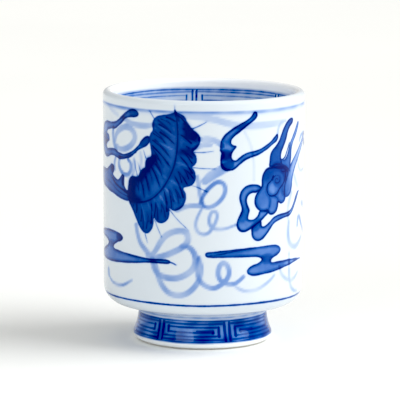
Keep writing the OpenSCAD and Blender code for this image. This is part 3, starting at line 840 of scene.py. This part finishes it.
# ---------- materials
class Nodes:
    """Short calls for making a material's nodes."""

    def __init__(self, name):
        self.material = bpy.data.materials.new(name)
        self.material.use_nodes = True
        self.tree = self.material.node_tree
        self.shader = self.tree.nodes["Principled BSDF"]

    def add(self, kind, **settings):
        node = self.tree.nodes.new("ShaderNode" + kind)
        for key, value in settings.items():
            setattr(node, key, value)
        return node

    def feed(self, socket, value):
        if isinstance(value, bpy.types.NodeSocket):
            self.tree.links.new(value, socket)
        else:
            socket.default_value = value

    def math(self, operation, a, b, clamp=False):
        node = self.add("Math", operation=operation, use_clamp=clamp)
        self.feed(node.inputs[0], a)
        self.feed(node.inputs[1], b)
        return node.outputs[0]

    def plus(self, a, b):
        return self.math("ADD", a, b)

    def times(self, a, b):
        return self.math("MULTIPLY", a, b)

    def attribute(self, name):
        return self.add("Attribute", attribute_name=name).outputs["Fac"]

    def noise(self, scale, detail=3.0, rough=0.5):
        node = self.add("TexNoise")
        for key, number in (("Scale", scale), ("Detail", detail), ("Roughness", rough)):
            node.inputs[key].default_value = number
        self.feed(node.inputs["Vector"], self.add("TexCoord").outputs["Object"])
        return node.outputs["Fac"]

    def step(self, value, start, end):
        """Smoothstep from 0 at start to 1 at end."""
        node = self.add("MapRange", interpolation_type="SMOOTHSTEP")
        self.feed(node.inputs["Value"], value)
        for key, number in zip(("From Min", "From Max", "To Min", "To Max"), (start, end, 0.0, 1.0)):
            node.inputs[key].default_value = number
        return node.outputs["Result"]

    def ramp(self, value, stops):
        node = self.add("ValToRGB")
        ramp = node.color_ramp
        while len(ramp.elements) < len(stops):
            ramp.elements.new(0.5)
        for element, (position, color) in zip(ramp.elements, stops):
            element.position = position
            element.color = (*color, 1)
        self.feed(node.inputs["Fac"], value)
        return node.outputs["Color"]

    def surface(self, color, roughness):
        self.feed(self.shader.inputs["Base Color"], color)
        self.feed(self.shader.inputs["Roughness"], roughness)

    def bump(self, height, strength, distance):
        node = self.add("Bump")
        node.inputs["Strength"].default_value = strength
        node.inputs["Distance"].default_value = distance
        self.feed(node.inputs["Height"], height)
        self.feed(self.shader.inputs["Normal"], node.outputs["Normal"])


def srgb(red, green, blue):
    """Linear colour of an sRGB colour given from 0 to 255."""
    def linear(c):
        return ((c / 255 + 0.055) / 1.055) ** 2.4 if c > 10 else c / 255 / 12.92
    return linear(red), linear(green), linear(blue)


# Colour of the cobalt by its density
COBALT = [(0.12, srgb(198, 210, 229)), (0.25, srgb(159, 180, 218)), (0.4, srgb(103, 139, 203)),
          (0.55, srgb(36, 90, 171)), (0.7, srgb(8, 62, 145)), (0.86, srgb(2, 38, 125)),
          (1.0, srgb(2, 9, 99))]


def glazed(n, color, roughness):
    """A glossy surface with the faint swell of a fired glaze."""
    n.surface(color, roughness)
    n.bump(n.noise(160, 2), 0.12, 0.0004)
    return n.material


def cobalt_glaze(name, bare):
    """Porcelain under a clear glaze, painted with cobalt where the mesh's fields say so."""
    ragged_by, line_blur, wash_blur = 0.22, 0.22, 0.2    # mm
    rim_from, rim_to, rim_tone = -1.1, -0.1, 0.1         # cobalt that gathers inside the edge of a wash
    halo_width, halo_tone = 0.9, 0.07                    # cobalt that bleeds out of a line
    n = Nodes(name)
    ragged = n.times(n.math("SUBTRACT", n.noise(900, 4, 0.6), 0.5), ragged_by)
    line = n.step(n.plus(n.attribute("line_edge"), ragged), line_blur, -line_blur)
    wash = n.step(n.plus(n.attribute("wash_edge"), ragged), wash_blur, -wash_blur)
    streaks = n.plus(n.times(n.noise(150, 4), 0.44), 0.78)
    rim = n.times(n.step(n.attribute("wash_edge"), rim_from, rim_to), rim_tone)
    wash_tone = n.plus(n.times(n.attribute("wash_tone"), streaks), rim)
    line_tone = n.times(n.attribute("line_tone"), n.plus(n.times(streaks, 0.25), 0.6))
    density = n.math("MAXIMUM", n.times(wash, wash_tone), n.times(line, line_tone))
    halo = n.times(n.step(n.attribute("line_edge"), halo_width, 0.0), halo_tone)
    veil = n.plus(n.times(n.attribute("bleed"), streaks), halo)
    density = n.math("ADD", density, veil, clamp=True)
    return glazed(n, n.ramp(density, [(0.0, bare)] + COBALT), 0.07)


def plain_glaze(name):
    n = Nodes(name)
    tint = n.ramp(n.noise(220), [(0.3, srgb(222, 231, 234)), (0.7, srgb(232, 238, 240))])
    return glazed(n, tint, 0.08)


def biscuit(name, pale, dark):
    """Bare fired clay: matte, with fine grains."""
    n = Nodes(name)
    grain = n.noise(2600, 4, 0.65)
    n.surface(n.ramp(grain, [(0.3, dark), (0.65, pale)]), n.plus(n.times(grain, 0.2), 0.55))
    n.bump(grain, 0.35, 0.0001)
    return n.material


def dress(obj, material):
    """Gives an object one material."""
    obj.data.materials.clear()
    obj.data.materials.append(material)


# ---------- pieces
# Stretches with finer cells: lowest and highest height, and the widest cell there in finest cells
lip_round = (CUP_HEIGHT - 1.7, CUP_HEIGHT, 2)
coats = [
    (painted_coat("painted_wall_glaze", outside_section, wall_painting(),
                  (lip_round, (10, 12.2, 2), (12.2, 21, 4))),
     ("outer_glaze", "painted_lip_line", "painted_base_line")),
    (painted_coat("painted_inner_glaze", inside_section, mouth_painting(), (lip_round, (14, 26, 4))),
     ("inner_glaze", "painted_mouth_band")),
    (painted_coat("painted_foot_glaze", foot_section, foot_painting(), ((0, 5, 4),)),
     ("foot_glaze", "painted_foot_band")),
]
# The wall takes the plain glaze. The inside and the foot take a whiter copy of it, which is painted light:
# it stands in for light through the thin porcelain and for light bounced onto the foot.
outside = cobalt_glaze("cobalt_under_glaze", srgb(219, 226, 232))
painted_light_glaze = cobalt_glaze("cobalt_glaze_painted_lighter", srgb(250, 252, 254))
for coat, nodes in coats:
    # the whiter copy on the inner and foot coats is the painted light
    dress(coat, outside if "wall" in coat.name else painted_light_glaze)
    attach(coat, "root")
    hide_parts(*nodes)

clay = biscuit("biscuit_porcelain", srgb(226, 221, 212), srgb(206, 200, 190))
slip = biscuit("joining_slip", srgb(218, 212, 200), srgb(196, 190, 178))
dress(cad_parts["body"], clay)
dress(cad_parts["foot_ring"], clay)
dress(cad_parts["luting_slip"], slip)
dress(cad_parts["recess_glaze"], plain_glaze("recess_glaze"))


# ---------- studio
def look_at(obj, target):
    obj.rotation_euler = (Vector(target) - obj.location).to_track_quat("-Z", "Y").to_euler()


def floor():
    size = 12.0
    level = -0.05 * MM    # a hair under the foot, so that the two faces don't coincide
    mesh = bpy.data.meshes.new("floor")
    corners = [(-size, -size, level), (size, -size, level), (size, size, level), (-size, size, level)]
    mesh.from_pydata(corners, [], [(0, 1, 2, 3)])
    obj = bpy.data.objects.new("floor", mesh)
    scene.collection.objects.link(obj)
    n = Nodes("floor")
    n.surface(n.ramp(n.noise(3), [(0.3, srgb(250, 250, 247)), (0.7, srgb(253, 253, 250))]), 0.6)
    dress(obj, n.material)


def lamp(name, kind, place, energy, color, **shape):
    """A light aimed at the middle of the cup."""
    light = bpy.data.lights.new(name, kind)
    light.energy = energy
    light.color = color
    for key, value in shape.items():
        setattr(light, key, value)
    obj = bpy.data.objects.new(name, light)
    obj.location = place
    scene.collection.objects.link(obj)
    look_at(obj, (0, 0, CUP_HEIGHT * MM / 2))
    return obj


def studio():
    """Broad window light from the right, and two cards that show in the glaze."""
    floor()
    window = lamp("window_light", "SUN", (2.0, -0.25, 1.6), 2.6, (0.965, 0.985, 1.0), angle=math.radians(55))
    window.visible_glossy = False
    lamp("left_card", "AREA", (-0.571, -0.915, 0.526), 2.3, (0.78, 0.88, 1.0),
         shape="RECTANGLE", size=0.62, size_y=0.6)
    lamp("right_card", "AREA", (1.083, -0.25, 0.35), 0.6, (0.7, 0.85, 1.0),
         shape="ELLIPSE", size=0.46, size_y=0.2)
    world = bpy.data.worlds.new("studio")
    world.use_nodes = True
    background = world.node_tree.nodes["Background"].inputs
    background["Color"].default_value = (1.0, 0.985, 0.955, 1)
    background["Strength"].default_value = 0.595
    scene.world = world
    view = scene.view_settings
    view.view_transform = "Standard"
    view.use_curve_mapping = True
    view.curve_mapping.black_level = (0.053, 0.046, 0.04)
    view.curve_mapping.update()


def camera():
    """A long lens about 9 degrees above the cup, rolled by a third of a degree."""
    roll = math.radians(0.315)
    data = bpy.data.cameras.new("camera")
    data.lens = 300.3
    data.sensor_width = 36
    obj = bpy.data.objects.new("camera", data)
    obj.location = (0, -1.148, 0.226)
    look_at(obj, (-0.0011, 0, 0.0486))
    obj.rotation_euler.rotate_axis("Z", roll)
    scene.collection.objects.link(obj)
    scene.camera = obj


camera()
studio()
